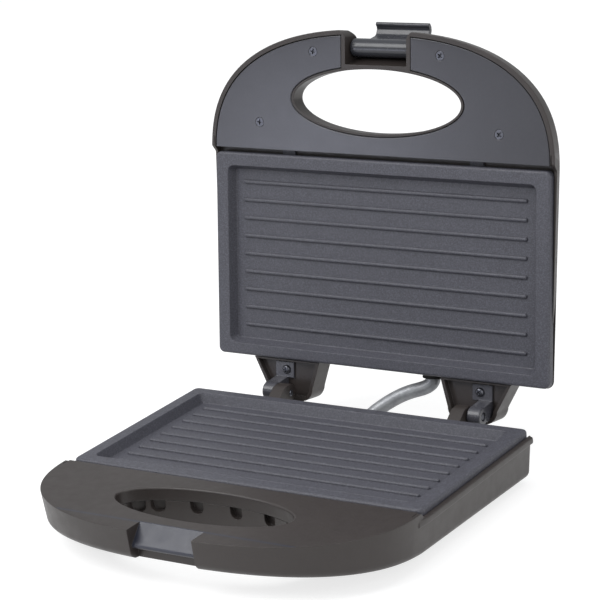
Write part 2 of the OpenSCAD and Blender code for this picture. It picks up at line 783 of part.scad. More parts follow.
module rib(v) {
    rib_r = rib_w / 2;
    depth = cavity_depth + rib_r - rib_h;
    cross_cylinder(v, depth, rib_r, -rib_length / 2 + rib_r, rib_length / 2 - rib_r);
    for (side = [-1, 1]) translate([side * (rib_length / 2 - rib_r), -v, -depth]) sphere(r = rib_r);
}

module heating_element() {
    leg_r = element_span / 2;
    bend_x = -(element_half_l - leg_r);
    color(dark_grey) {
        for (side = [-1, 1]) {
            cross_cylinder(plate_mid_v + side * leg_r, element_depth, element_d / 2, bend_x, element_half_l);
            cross_cylinder(plate_mid_v + side * leg_r, element_depth, 1.3, element_half_l, element_half_l + 9);
        }
        translate([bend_x, -plate_mid_v, -element_depth]) intersection() {
            rotate_extrude() translate([leg_r, 0]) circle(r = element_d / 2);
            translate([-2 * leg_r, -2 * leg_r, -element_d]) cube([2 * leg_r, 4 * leg_r, 2 * element_d]);
        }
    }
}

module element_clamps() {
    reach = element_span / 2 + 8;
    color(steel) for (side = [-1, 1]) difference() {
        block(side * stud_x - 6, side * stud_x + 6, plate_mid_v - reach, plate_mid_v + reach,
            clamp_depth0, clamp_depth1);
        post(side * stud_x, plate_mid_v, screw_pass_r, 0, through);
    }
}

module heat_reflector() {
    color(steel) difference() {
        rounded_slab(reflector_half_w, reflector_v0, reflector_v1, 8, reflector_top, reflector_depth);
        rounded_slab(reflector_half_w - reflector_t, reflector_v0 + reflector_t, reflector_v1 - reflector_t,
            8 - reflector_t, 0, clamp_depth1);
        for (side = [-1, 1]) post(side * stud_x, plate_mid_v, screw_pass_r, 0, through);
    }
}

module reflector_screws() {
    color(steel) for (side = [-1, 1])
        translate([side * stud_x, -plate_mid_v, -reflector_depth]) rotate([180, 0, 0])
            screw(reflector_depth - tub_depth - 1);
}

module lower_plate_screws() {
    place() color(steel) for (side = [-1, 1])
        translate([side * lug_x, -lug_screw_v, -ledge_bottom]) rotate([180, 0, 0]) screw(ledge_bottom - 4.6);
}

/* Lid */

module lid_housing() {
    lid_pose() color(housing_grey) difference() {
        union() {
            difference() {
                outer_form();
                inner_form(concat([[wall, false, cover_t]], edge_rings(wall)));
                plate_window();
                handle_window();
            }
            for (side = [-1, 1]) hinge_ear(side);
            intersection() {
                union() {
                    oval_tube(0, collar_t, 0, through);
                    for (p = cover_screws) post(p[0], p[1], 3.6, cover_t, through);
                    for (side = [-1, 1]) post(side * lug_x, lug_screw_v, 3.4, ledge_bottom - 1, 14);
                }
                under_roof();
            }
            across(2 * notch_half_w + 2 * wall + 0.4) polygon([
                [gap_rear_v - wall, 0], [handle_reach - 2.4, 0], [handle_reach - 2.6, 9],
                [handle_reach - 5, 13], [handle_reach - 8, 15.4], [gap_rear_v - wall, 16.4]
            ]);
            back_cylinder(conduit_lid[0], conduit_lid[1], boss_r, -4, 2);
        }
        translate([0, 0, -through]) linear_extrude(2 * through) oval(collar_t);
        latch_gap();
        lug_pockets(-1);
        for (side = [-1, 1]) post(side * lug_x, lug_screw_v, screw_hole_r, rim_drop - 1, 13);
        for (p = cover_screws) post(p[0], p[1], screw_hole_r, cover_t - 1, cover_t + 9);
        cross_cylinder(latch_v, latch_depth, latch_pin_r + pin_clearance, -latch_pin_half_l,
            latch_pin_half_l);
        back_cylinder(conduit_lid[0], conduit_lid[1], conduit_r + 1.3, -10, 10);
        for (side = [-1, 1]) post(side * lens_x, lens_v, lens_r + 0.1, 18, through);
    }
}

// Recess for the handle cover, open towards the parting plane
module handle_window() {
    intersection() {
        loft([[handle_edge_w, false, -2], [handle_edge_w, false, cover_t]]);
        block(-half_w, half_w, step_v - 1, handle_reach + 1, -5, cover_t);
    }
}

latch_pin_half_l = notch_half_w + 8;
gap_roof_depth = latch_depth + latch_barrel_r + 0.7;
gap_roof_v = latch_v - 0.6;

// Gap in the lid for the latch, with the roof that the flipped-back arm rests on
module latch_gap() {
    across(2 * notch_half_w) polygon([
        [gap_rear_v, -1], [gap_rear_v, gap_roof_depth], [gap_roof_v, gap_roof_depth],
        [gap_roof_v, through], [handle_reach + 20, through], [handle_reach + 20, -1]
    ]);
}

function arc_points(x, y, r, a0, a1, steps) = [
    for (i = [0:steps]) let (a = a0 + (a1 - a0) * i / steps) [x + r * cos(a), y + r * sin(a)]
];

// Outline of a hinge ear behind the lid, moved in by "inset"
module ear_outline(inset, y0) {
    r = ear_corner_r - inset;
    y1 = ear_reach - ear_corner_r;
    polygon(concat(
        [[ear_x0 + inset, y0], [ear_x1 - inset, y0]],
        arc_points(ear_x1 - ear_taper - ear_corner_r, y1, r, 0, 90, 6),
        arc_points(ear_x0 + ear_taper + ear_corner_r, y1, r, 90, 180, 6)
    ));
}

module hinge_ear(side) {
    mirror([side < 0 ? 1 : 0, 0, 0]) difference() {
        translate([0, 0, -ear_depth1]) linear_extrude(ear_depth1 - ear_depth0) ear_outline(0, 0.4);
        translate([0, 0, -ear_depth1 + wall]) linear_extrude(ear_depth1) ear_outline(wall, 1.6);
    }
}

module lid_handle_cover() {
    lid_pose() color(cover_grey) difference() {
        intersection() {
            loft([[handle_edge_w + seam, false, 0], [handle_edge_w + seam, false, cover_t]]);
            block(-half_w, half_w, step_v, handle_reach, -1, cover_t + 1);
        }
        translate([0, 0, -through]) linear_extrude(2 * through) oval(-seam);
        block(-notch_half_w - wall - 0.2 - seam, notch_half_w + wall + 0.2 + seam,
            gap_rear_v - wall - seam, handle_reach + 1, -1, cover_t + 1);
        for (p = cover_screws) {
            post(p[0], p[1], screw_pass_r, -1, cover_t + 1);
            translate([p[0], -p[1], -1.6]) cylinder(r1 = screw_pass_r, r2 = head_r + 0.1, h = 1.6 + eps);
        }
    }
}

module handle_cover_screws() {
    lid_pose() color(steel) for (p = cover_screws) translate([p[0], -p[1], 0]) {
        translate([0, 0, -1.6]) cylinder(r1 = screw_r, r2 = head_r, h = 1.5);
        translate([0, 0, -cover_t - 8]) cylinder(r = screw_r, h = cover_t + 7);
    }
}

module upper_plate_screws() {
    lid_pose() color(steel) for (side = [-1, 1])
        translate([side * lug_x, -lug_screw_v, -rim_drop + lug_t]) screw(6.5);
}

module thermostat() {
    x = 0;
    lid_pose() color(ceramic_white) {
        post(x, plate_mid_v, 8, reflector_depth, reflector_depth + 3.4);
        for (side = [-1, 1])
            block(x + side * 4 - 1.6, x + side * 4 + 1.6, plate_mid_v - 2, plate_mid_v + 2,
                reflector_depth, reflector_depth + 5);
    }
}

module thermal_fuse() {
    fuse_v = plate_mid_v - 24;
    lid_pose() color(steel) {
        cross_cylinder(fuse_v, reflector_depth + 2, 2, -9, 9);
        cross_cylinder(fuse_v, reflector_depth + 2, 0.6, -20, 20);
        block(-2.5, 2.5, fuse_v - 5, fuse_v + 5, reflector_depth, reflector_depth + 0.8);
    }
}

// Holder of the two neon lamps, on the inside of the lid's outer wall
module lamp_holder() {
    top = face_depth(lens_v) - wall - 7;
    lid_pose() color(ceramic_white) difference() {
        block(-lens_x - 6, lens_x + 6, lens_v - 5, lens_v + 5, top, face_depth(lens_v + 5) - wall);
        for (side = [-1, 1]) post(side * lens_x, lens_v, lens_r + 0.3, top + 2, through);
    }
}

module lamp_lens(side) {
    outer = face_depth(lens_v);
    translate([side * lens_x, -lens_v, -outer - 1.2]) rotate_extrude() polygon([
        [0, 0], [lens_r * 0.6, 0.2], [lens_r, 0.9], [lens_r, 6], [0, 6]
    ]);
}

module power_lens() {
    lid_pose() color([0.8, 0.08, 0.05]) lamp_lens(-1);
}

module ready_lens() {
    lid_pose() color([0.1, 0.6, 0.15]) lamp_lens(1);
}

// Bracket in a hinge ear: screw plate, arm and outer knuckle
module hinge_bracket(side) {
    x0 = knuckle_split_x + knuckle_gap / 2;
    ear_floor = ear_depth1 - wall;
    lid_pose() color(dark_grey) mirror([side < 0 ? 1 : 0, 0, 0]) difference() {
        union() {
            cross_cylinder(-hinge_y, -hinge_depth_in_lid(), knuckle_r, x0, x0 + knuckle_length);
            translate([x0 + knuckle_length / 2, 0, 0]) across(knuckle_length) polygon([
                [-hinge_y - 4, -hinge_depth_in_lid() + 3.6], [-hinge_y - 3, ear_floor], [-3, ear_floor],
                [-3, 7], [-11.5, 7], [-hinge_y + 5, -hinge_depth_in_lid()]
            ]);
            block(x0 - 3.5, x0 + knuckle_length, 3 - 14.4, -3, 6, ear_floor);
        }
        cross_cylinder(-hinge_y, -hinge_depth_in_lid(), pin_hole_r, x0 - 5, x0 + knuckle_length + 5);
        post(x0 + 1.6, -7.2, screw_hole_r, 0, 14);
    }
}

// Depth of the hinge axis in the lid's own frame, above its inner face
function hinge_depth_in_lid() = hinge_depth + closed_gap;

module hinge_bracket_screws() {
    x0 = knuckle_split_x + knuckle_gap / 2;
    lid_pose() color(steel) for (side = [-1, 1])
        translate([side * (x0 + 1.6), 7.2, -6]) screw(7);
}

module hinge_pin(side) {
    x0 = knuckle_split_x - knuckle_length - 1;
    x1 = knuckle_split_x + knuckle_gap / 2 + knuckle_length + 0.3;
    lid_pose() color(steel) mirror([side < 0 ? 1 : 0, 0, 0]) {
        cross_cylinder(-hinge_y, -hinge_depth_in_lid(), hinge_pin_r, x0, x1);
        cross_cylinder(-hinge_y, -hinge_depth_in_lid(), hinge_pin_r + 1.4, x1, x1 + 1.2);
    }
}

module lid_conduit_grommet() {
    lid_pose() grommet(conduit_lid[0], conduit_lid[1]);
}

/* Latch */

module latch_pin() {
    lid_pose() color(steel)
        cross_cylinder(latch_v, latch_depth, latch_pin_r, -latch_pin_half_l + 0.3, latch_pin_half_l - 0.3);
}

module latch_clip() {
    barrel_half = notch_half_w - 0.5;
    points = [for (p = latch_path) latch_point(p)];
    lid_pose() color(dark_grey) difference() {
        union() {
            cross_cylinder(latch_v, latch_depth, latch_barrel_r, -barrel_half, barrel_half);
            for (i = [0:len(points) - 2]) {
                d = points[i + 1] - points[i];
                across(2 * latch_half_w) translate(points[i]) rotate(atan2(d[1], d[0]))
                    translate([0, -latch_t / 2]) square([norm(d), latch_t]);
                cross_cylinder(points[i + 1][0], points[i + 1][1], latch_t / 2, -latch_half_w, latch_half_w);
            }
        }
        cross_cylinder(latch_v, latch_depth, latch_pin_r + pin_clearance, -through, through);
    }
}

base_housing();
bottom_cover();
place() cooking_plate();  // lower_cooking_plate
place() heating_element();  // lower_heating_element
place() element_clamps();  // lower_element_clamps
place() heat_reflector();  // lower_heat_reflector
place() reflector_screws();  // lower_reflector_screws
lower_plate_screws();
bottom_cover_screws();
foot(-foot_x, foot_front_v);  // foot_front_left
foot(foot_x, foot_front_v);  // foot_front_right
foot(-foot_x, foot_rear_v);  // foot_rear_left
foot(foot_x, foot_rear_v);  // foot_rear_right
cord_gland();
cord_clamp();
cord_clamp_screws();
terminal_block();
base_conduit_grommet();
wire_conduit();
lid_housing();
lid_handle_cover();
handle_cover_screws();
lid_pose() cooking_plate();  // upper_cooking_plate
lid_pose() heating_element();  // upper_heating_element
lid_pose() element_clamps();  // upper_element_clamps
lid_pose() heat_reflector();  // upper_heat_reflector
lid_pose() reflector_screws();  // upper_reflector_screws
upper_plate_screws();
thermostat();
thermal_fuse();
lamp_holder();
power_lens();
ready_lens();
hinge_bracket(-1);  // hinge_bracket_left
hinge_bracket(1);  // hinge_bracket_right
hinge_bracket_screws();
hinge_pin(-1);  // hinge_pin_left
hinge_pin(1);  // hinge_pin_right
lid_conduit_grommet();
latch_pin();
latch_clip();
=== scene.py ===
import json
import math

import bmesh
import bpy
import numpy as np
from mathutils import Matrix, Vector

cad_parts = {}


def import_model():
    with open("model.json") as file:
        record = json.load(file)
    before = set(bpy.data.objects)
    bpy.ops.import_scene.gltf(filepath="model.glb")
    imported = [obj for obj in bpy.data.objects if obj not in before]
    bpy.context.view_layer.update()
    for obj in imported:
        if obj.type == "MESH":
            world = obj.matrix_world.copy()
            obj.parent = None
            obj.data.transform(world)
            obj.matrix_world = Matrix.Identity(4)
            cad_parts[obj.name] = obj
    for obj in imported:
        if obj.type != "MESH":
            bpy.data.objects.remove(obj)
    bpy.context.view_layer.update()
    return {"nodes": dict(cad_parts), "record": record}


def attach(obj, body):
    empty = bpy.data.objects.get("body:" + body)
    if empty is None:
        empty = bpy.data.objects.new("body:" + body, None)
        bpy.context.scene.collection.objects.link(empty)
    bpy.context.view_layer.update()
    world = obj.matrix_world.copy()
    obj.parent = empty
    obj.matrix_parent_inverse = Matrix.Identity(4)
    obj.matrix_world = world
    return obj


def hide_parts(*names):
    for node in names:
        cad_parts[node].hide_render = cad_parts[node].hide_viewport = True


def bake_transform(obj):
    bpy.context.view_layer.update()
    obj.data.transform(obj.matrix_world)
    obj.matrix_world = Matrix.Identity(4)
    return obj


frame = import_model()

# Places of the two halves: a point is (x, v, depth) in millimetres, v from the rear edge of the
# plates towards the handle, depth from the inner face outwards
MM = 0.001
SHARP = math.radians(34)
MIDDLE_Y = -54.8812
FLOOR = 32.4
LEAN = math.radians(8.6)
LID_Y, LID_Z = 82.0895, 46.0628
BASE = Matrix(((1, 0, 0, 0), (0, -1, 0, -MIDDLE_Y), (0, 0, -1, FLOOR), (0, 0, 0, 1)))
LID = Matrix((
    (1, 0, 0, 0),
    (0, math.sin(LEAN), math.cos(LEAN), LID_Y),
    (0, math.cos(LEAN), -math.sin(LEAN), LID_Z),
    (0, 0, 0, 1),
))


# Camera: degrees, millimetres and, for the focal length and the picture's width, pixels
AZIMUTH, ELEVATION, ROLL = 33.61, 17.18, -5.39
TARGET = (0.44, -48.5 - MIDDLE_Y, 81.29 + FLOOR)
DISTANCE = 1327.12
FOCAL, PICTURE, SENSOR = 2360.77, 600, 36


def camera():
    az, el, roll = (math.radians(a) for a in (AZIMUTH, ELEVATION, ROLL))
    back = Vector((math.sin(az) * math.cos(el), -math.cos(az) * math.cos(el), math.sin(el)))
    side = Vector((math.cos(az), math.sin(az), 0))
    up = back.cross(side)
    right = side * math.cos(roll) + up * math.sin(roll)
    top = up * math.cos(roll) - side * math.sin(roll)
    place = (Vector(TARGET) + back * DISTANCE) * MM
    cam = bpy.data.cameras.new("camera")
    cam.sensor_fit = "HORIZONTAL"
    cam.sensor_width = SENSOR
    cam.lens = FOCAL / PICTURE * SENSOR
    cam.clip_start = 0.05
    cam.clip_end = 20
    ob = bpy.data.objects.new("camera", cam)
    bpy.context.scene.collection.objects.link(ob)
    m = Matrix.Identity(4)
    for i, axis in enumerate((right, top, back)):
        for k in range(3):
            m[k][i] = axis[k]
    m.translation = place
    ob.matrix_world = m
    bpy.context.scene.camera = ob


camera()


# Materials

def linear(rgb):
    """Linear colour of one given in levels from 0 to 255."""
    return tuple(
        c / 12.92 if c <= 0.04045 else ((c + 0.055) / 1.055) ** 2.4
        for c in (v / 255 for v in rgb)
    ) + (1,)


class Nodes:
    """Short forms for building a material's node tree."""

    def __init__(self, name):
        self.mat = bpy.data.materials.new(name)
        self.mat.use_nodes = True
        self.tree = self.mat.node_tree
        self.shader = self.tree.nodes["Principled BSDF"]
        coords = self.tree.nodes.new("ShaderNodeTexCoord")
        self.coords = coords.outputs["Object"]

    def node(self, kind, links=(), **values):
        n = self.tree.nodes.new(kind)
        for key, value in values.items():
            if hasattr(n, key):
                setattr(n, key, value)
            else:
                n.inputs[key].default_value = value
        for key, out in dict(links).items():
            self.tree.links.new(out, n.inputs[key])
        return n

    def link(self, out, socket):
        self.tree.links.new(out, self.shader.inputs[socket])

    def noise(self, scale, detail, rough=0.6):
        return self.node("ShaderNodeTexNoise", {"Vector": self.coords}, Scale=scale, Detail=detail,
            Roughness=rough).outputs["Fac"]

    def voronoi(self, scale):
        return self.node("ShaderNodeTexVoronoi", {"Vector": self.coords}, Scale=scale).outputs["Distance"]

    def ramp(self, fac, stops):
        n = self.node("ShaderNodeValToRGB", {"Fac": fac})
        els = n.color_ramp.elements
        while len(els) < len(stops):
            els.new(0.5)
        for e, (p, c) in zip(els, stops):
            e.position = p
            e.color = linear(c)
        return n.outputs["Color"]

    def span(self, value, low, high, to_low, to_high):
        n = self.node("ShaderNodeMapRange", {"Value": value})
        for k, v in (("From Min", low), ("From Max", high), ("To Min", to_low), ("To Max", to_high)):
            n.inputs[k].default_value = v
        return n.outputs["Result"]

    def mix(self, factor, a, b):
        n = self.node("ShaderNodeMix", data_type="RGBA", blend_type="MIX")
        n.inputs[0].default_value = factor
        self.tree.links.new(a, n.inputs[6])
        self.tree.links.new(b, n.inputs[7])
        return n.outputs[2]

    def relief(self, height, strength, distance, edge):
        """Bump on top of edges rounded by the radius "edge", in metres."""
        rounded = self.node("ShaderNodeBevel", samples=4)
        rounded.inputs["Radius"].default_value = edge
        n = self.node("ShaderNodeBump", {"Height": height, "Normal": rounded.outputs["Normal"]})
        n.inputs["Strength"].default_value = strength
        n.inputs["Distance"].default_value = distance
        self.link(n.outputs["Normal"], "Normal")


def moulded(name, dark, light, rough, grain=2600, depth=0.00006, strength=0.35, patches=0.045):
    """Moulded plastic: fine spark-eroded grain, faint cloudy colour and a soft sheen."""
    n = Nodes(name)
    stops = [(0.3, dark), (0.7, light)]
    n.link(n.mix(0.4, n.ramp(n.noise(22, 3), stops), n.ramp(n.noise(700, 3), stops)), "Base Color")
    n.link(n.span(n.noise(160, 3), 0.3, 0.7, rough - patches, rough + patches), "Roughness")
    n.relief(n.noise(grain, 3, 0.55), strength, depth, edge=0.0006)
    n.shader.inputs["IOR"].default_value = 1.5
    return n.mat


def coated(name):
    """Cast plate with a speckled non-stick coating."""
    n = Nodes(name)
    cloud = n.ramp(n.noise(40, 4), [(0.3, (70, 70, 77)), (0.7, (77, 77, 85))])
    spots = n.ramp(n.voronoi(900),
        [(0.0, (110, 111, 121)), (0.25, (73, 73, 81)), (0.6, (62, 62, 69))])
    flecks = n.ramp(n.noise(1100, 2, 0.8),
        [(0.35, (56, 56, 62)), (0.5, (72, 72, 80)), (0.66, (99, 100, 110))])
    n.link(n.mix(0.5, n.mix(0.4, cloud, spots), flecks), "Base Color")
    n.link(n.span(n.noise(300, 3), 0.3, 0.7, 0.44, 0.58), "Roughness")
    n.relief(n.noise(1300, 4, 0.7), 0.55, 0.0002, edge=0.0005)
    return n.mat


def metal(name, colour, rough):
    """Metal with faintly uneven colour and shine."""
    n = Nodes(name)
    n.shader.inputs["Metallic"].default_value = 1
    darker = tuple(int(c * 0.88) for c in colour)
    n.link(n.ramp(n.noise(500, 3), [(0.3, darker), (0.7, colour)]), "Base Color")
    n.link(n.span(n.noise(900, 2), 0.3, 0.7, rough - 0.04, rough + 0.08), "Roughness")
    n.relief(n.noise(3000, 2), 0.15, 0.00003, edge=0.0002)
    return n.mat


def sleeve(name):
    """Smooth heat-resistant sleeve with faint rings along the conduit."""
    n = Nodes(name)
    n.link(n.ramp(n.noise(220, 4), [(0.3, (138, 140, 144)), (0.7, (166, 168, 171))]), "Base Color")
    n.link(n.span(n.noise(400, 3), 0.3, 0.7, 0.34, 0.5), "Roughness")
    n.shader.inputs["Metallic"].default_value = 0.35
    n.relief(n.noise(1500, 3), 0.3, 0.0001, edge=0.0002)
    return n.mat


def lens(name, dark, light):
    """Smooth clear-coated plastic of an indicator."""
    n = Nodes(name)
    n.link(n.ramp(n.noise(300, 2), [(0.3, dark), (0.7, light)]), "Base Color")
    n.shader.inputs["Roughness"].default_value = 0.12
    n.shader.inputs["Coat Weight"].default_value = 0.6
    return n.mat


MATERIALS = {
    "housing_plastic": moulded("housing_plastic", (48, 43, 41), (55, 49, 47), 0.42),
    "cover_plastic": moulded("cover_plastic", (60, 60, 65), (66, 66, 71), 0.24, depth=0.00002,
        strength=0.2, patches=0.015),
    "latch_plastic": moulded("latch_plastic", (46, 47, 52), (53, 54, 60), 0.24, depth=0.00002),
    "hinge_plastic": moulded("hinge_plastic", (68, 68, 74), (78, 78, 84), 0.26, depth=0.00002),
    "coated_plate": coated("coated_plate"),
    "black_rubber": moulded("black_rubber", (22, 22, 22), (30, 30, 30), 0.75, grain=900,
        depth=0.0001),
    "white_ceramic": moulded("white_ceramic", (214, 209, 198), (226, 222, 212), 0.6, grain=900),
    "grey_sleeve": sleeve("grey_sleeve"),
    "bright_steel": metal("bright_steel", (104, 105, 112), 0.34),
    "element_sheath": metal("element_sheath", (70, 70, 74), 0.5),
    "red_lens": lens("red_lens", (170, 20, 14), (190, 30, 20)),
    "green_lens": lens("green_lens", (24, 128, 40), (34, 146, 52)),
}
# Slightly smoother plastic for the latch notch, its bluish tint a painted reflection
NOTCH_PAINTED_SHEEN = moulded("latch_rest_painted_sheen", (40, 42, 53), (46, 48, 60), 0.38, depth=0.00001)
SLOTS = {s["node"]: s["material_slot"] for s in frame["record"]["subparts"]}
BODY = {n: b for b, ns in frame["record"]["behaviour"]["bodies"].items() for n in ns}


# Solids in (x, v, depth) millimetres, cut and joined as meshes

def solid(points, faces):
    mesh = bpy.data.meshes.new("solid")
    mesh.from_pydata([tuple(map(float, p)) for p in points], [], faces)
    mesh.validate()
    return mesh


def skin(loops, count):
    """Faces from each loop to the next, for loops of "count" points."""
    faces = []
    for k in range(loops - 1):
        for i in range(count):
            j = (i + 1) % count
            faces.append((k * count + i, k * count + j, (k + 1) * count + j, (k + 1) * count + i))
    return faces


def stack(loops):
    """Solid through closed loops with the same number of points."""
    count = len(loops[0])
    faces = skin(len(loops), count)
    faces.append(tuple(reversed(range(count))))
    faces.append(tuple(range((len(loops) - 1) * count, len(loops) * count)))
    return solid([p for loop in loops for p in loop], faces)


def outward(mesh):
    """Turns a closed mesh's faces outwards."""
    bm = bmesh.new()
    bm.from_mesh(mesh)
    bmesh.ops.recalc_face_normals(bm, faces=bm.faces)
    bm.to_mesh(mesh)
    bm.free()
    return mesh


def combine(operation, first, *rest):
    """Boolean of a mesh with others, one after the other."""
    for other in rest:
        a = bpy.data.objects.new("a", first)
        b = bpy.data.objects.new("b", other)
        for ob in (a, b):
            bpy.context.scene.collection.objects.link(ob)
        mod = a.modifiers.new("boolean", "BOOLEAN")
        mod.operation = operation
        mod.solver = "MANIFOLD"
        mod.object = b
        graph = bpy.context.evaluated_depsgraph_get()
        first = bpy.data.meshes.new_from_object(a.evaluated_get(graph))
        for ob in (a, b):
            bpy.data.objects.remove(ob)
    return first


def joined(*meshes):
    return combine("UNION", *meshes)


def cut(*meshes):
    return combine("DIFFERENCE", *meshes)


def common(*meshes):
    return combine("INTERSECT", *meshes)


def across(half, profile, middle=0.0):
    """Prism along x with a (v, depth) profile."""
    return outward(stack([[(middle + s * half, v, d) for v, d in profile] for s in (-1, 1)]))


def block(x0, x1, v0, v1, d0, d1):
    return across((x1 - x0) / 2, [(v0, d0), (v1, d0), (v1, d1), (v0, d1)], (x0 + x1) / 2)


def turns(steps):
    """Angles once round a circle."""
    return [2 * math.pi * i / steps for i in range(steps)]


def quarter(count):
    """Angles of a quarter circle, from 0 to 90 degrees."""
    return np.radians(np.linspace(0, 90, count))


def flat(points, d0, d1):
    """Prism over a flat outline of (x, v)."""
    return outward(stack([[(x, v, d) for x, v in points] for d in (d0, d1)]))


def turned(axis, centre, rings, steps=40):
    """Round solid along an axis ("x", "v" or "d"): rings are (radius, place along the axis)."""
    loops = []
    for r, t in rings:
        loop = []
        for angle in turns(steps):
            a, b = r * math.cos(angle), r * math.sin(angle)
            p = {"x": (t, a, b), "v": (a, t, b), "d": (a, b, t)}[axis]
            loop.append(tuple(p[i] + centre[i] for i in range(3)))
        loops.append(loop)
    return outward(stack(loops))


def bar(v, depth, r, x0, x1, soft=0.5):
    """Cylinder along x with softened ends."""
    return turned("x", (0, v, depth), [(r - soft, x0), (r, x0 + soft), (r, x1 - soft), (r - soft, x1)])


def post(x, v, r, d0, d1):
    """Cylinder along the depth."""
    return turned("d", (x, v, 0), [(r, d0), (r, d1)])


def bore(x, depth, r, v0, v1):
    """Cylinder along v."""
    return turned("v", (x, 0, depth), [(r, v0), (r, v1)])


def ellipse(half_x, half_v, depth):
    return [(half_x * math.cos(a), OVAL_V + half_v * math.sin(a), depth) for a in turns(128)]


def oval(rings):
    """Solid of ellipses round the finger hole's middle: rings are (half_x, half_v, depth)."""
    return outward(stack([ellipse(*r) for r in rings]))


def round_rect(half_x, v0, v1, r, depth, steps=8):
    points = []
    corners = ((half_x - r, v1 - r, 0), (r - half_x, v1 - r, 90), (r - half_x, v0 + r, 180),
        (half_x - r, v0 + r, 270))
    for cx, cv, a0 in corners:
        for i in range(steps + 1):
            a = math.radians(a0 + 90 * i / steps)
            points.append((cx + r * math.cos(a), cv + r * math.sin(a), depth))
    return points


def slab(half_x, v0, v1, r, rings):
    """Rounded slab: rings are (inset, depth)."""
    return outward(stack([
        round_rect(half_x - i, v0 + i, v1 - i, max(r - i, 0.4), d) for i, d in rings
    ]))


# Sizes that several pieces share. WIDE and FAR only have to reach past the object
WIDE, FAR = 150, 60
HALF_W, PLATE_HALF, PLATE_D = 116.6, 114.0, 125.4
REAR, SHOULDER, REACH, STEP_V, OVAL_V = -1.8, 125.0, 202.0, 128.2, 160.0
RIM, WALL, DRAFT, POWER = 7.4, 2.4, 0.1, 2.47
CAVITY_HALF, CAVITY_V0, CAVITY_V1, CAVITY_R = 105.0, 7.4, 117.2, 4
NOTCH, LUG_X, LUG_V = 20.7, 64.0, 131.1
BASE_OVAL, LID_OVAL = (56.4, 19.8), (56.8, 18.9)

# Hinge line, whose depth differs between the halves, and the latch pin
HINGE_V, BASE_HINGE_D, LID_HINGE_D = -19.05, 4.37, -5.37
LATCH_V, LATCH_D, LATCH_BORE, LATCH_TURN = 190.6, 10, 1.65, 136
KNUCKLE_R = 5.5

# Screws, feet and openings as (x, v), and holes in the rear walls as (x, depth)
COVER_SCREWS = ((42.9, 188.1), (81.3, 144.6))
BRACKET_SCREW_X, BRACKET_SCREW_V = 67.0, -7.2
FLOOR_SCREW_X, FLOOR_SCREW_V = 99, (14, 111)
HEAD_R, SHANK_R, HEAD_H = 2.75, 1.5, 1.8
FEET = [(x, v) for x in (-88, 88) for v in (18, 114)]
LENS_X, LENS_V = 12, 112
CORD_HOLE, BASE_CONDUIT, LID_CONDUIT = (-36, 17), (-6, 17), (31, 14.2)

# Housing forms: height of the upright rim, slope and taper of the sides, radii of the outer edge
# and the rear corners, and the depth of the outer face as (v, depth)
BASE_FORM = {"rim": 5.0, "slope": 0.0, "taper": 0.0, "edge": 4.5, "corner": 5.5,
    "face": ((REAR, 29.25), (SHOULDER, 25.8), (REACH, 17.4))}
LID_FORM = {"rim": 8.0, "slope": 0.6, "taper": 2.4, "edge": 5.5, "corner": 5.5,
    "face": ((REAR, 29.25), (SHOULDER, 25.8), (SHOULDER + 15, 12.6), (182, 15.9), (REACH, 16.9))}
CORNER_STEPS, FRONT_STEPS = 10, 48


def outline(form, inset, rear_inset):
    """Right half of a housing's outline, from the rear corner to the tip."""
    inset, rear = (np.broadcast_to(i, (CORNER_STEPS + FRONT_STEPS,)).astype(float)
        for i in (inset, rear_inset))
    a = quarter(CORNER_STEPS)
    i = inset[:CORNER_STEPS]
    r = np.maximum(form["corner"] - i, 1)
    corner = np.stack([HALF_W - form["taper"] - i - r + r * np.sin(a),
        REAR + rear[:CORNER_STEPS] + r - r * np.cos(a)], 1)
    a = np.radians(90 * np.linspace(0, 1, FRONT_STEPS) ** 1.4)
    i, p = inset[CORNER_STEPS:], 2 / POWER
    front = np.stack([(HALF_W - i) * np.maximum(np.cos(a), 0) ** p,
        SHOULDER + (REACH - SHOULDER - i) * np.sin(a) ** p], 1)
    return np.concatenate([corner, front])


def face_depth(form, v):
    """Depth of the outer face."""
    path = form["face"]
    return np.interp(v, [p[0] for p in path], [p[1] for p in path])


def ring(form, inset, from_face, value):
    """Outline at a depth, or at a distance inwards from the outer face."""
    depth = lambda v: face_depth(form, v) - value if from_face else np.full_like(v, value)
    d = depth(outline(form, inset, inset)[:, 1])
    rear = inset + DRAFT * d
    q = outline(form, rear + form["slope"] * np.maximum(d - form["rim"], 0), rear)
    right = np.column_stack([q, depth(q[:, 1])])
    left = right[-2::-1] * (-1, 1, 1)
    return np.concatenate([right, left])


def loft(form, rings):
    """Solid through rings (inset, from_face, value), capped by strips from side to side."""
    loops = [ring(form, *r) for r in rings]
    count = len(loops[0])
    half = (count - 1) // 2
    faces = skin(len(loops), count)
    for first in (0, (len(loops) - 1) * count):
        for i in range(half - 1):
            faces.append(tuple(first + n for n in (i, i + 1, 2 * half - i - 1, 2 * half - i)))
        faces.append(tuple(first + n for n in (half - 1, half, half + 1)))
    return outward(solid(np.concatenate(loops), faces))


def edge(form, gap):
    """Rings of the rounded outer edge, "gap" inside it."""
    r = form["edge"]
    return [(r - (r - gap) * math.cos(a), True, r - (r - gap) * math.sin(a)) for a in quarter(7)]


def whole(form):
    """Housing without its step, cavity or openings."""
    lip = [(0.35, False, 0), (0.1, False, 0.12), (0, False, 0.4), (0, False, form["rim"])]
    return loft(form, lip + edge(form, 0))


def ease(v0, length, depth, count):
    """Path of (v, depth) that rises softly to the inner face."""
    return [(v0 + length * t, depth * (1 - t * t * (3 - 2 * t))) for t in np.linspace(0, 1, count)]


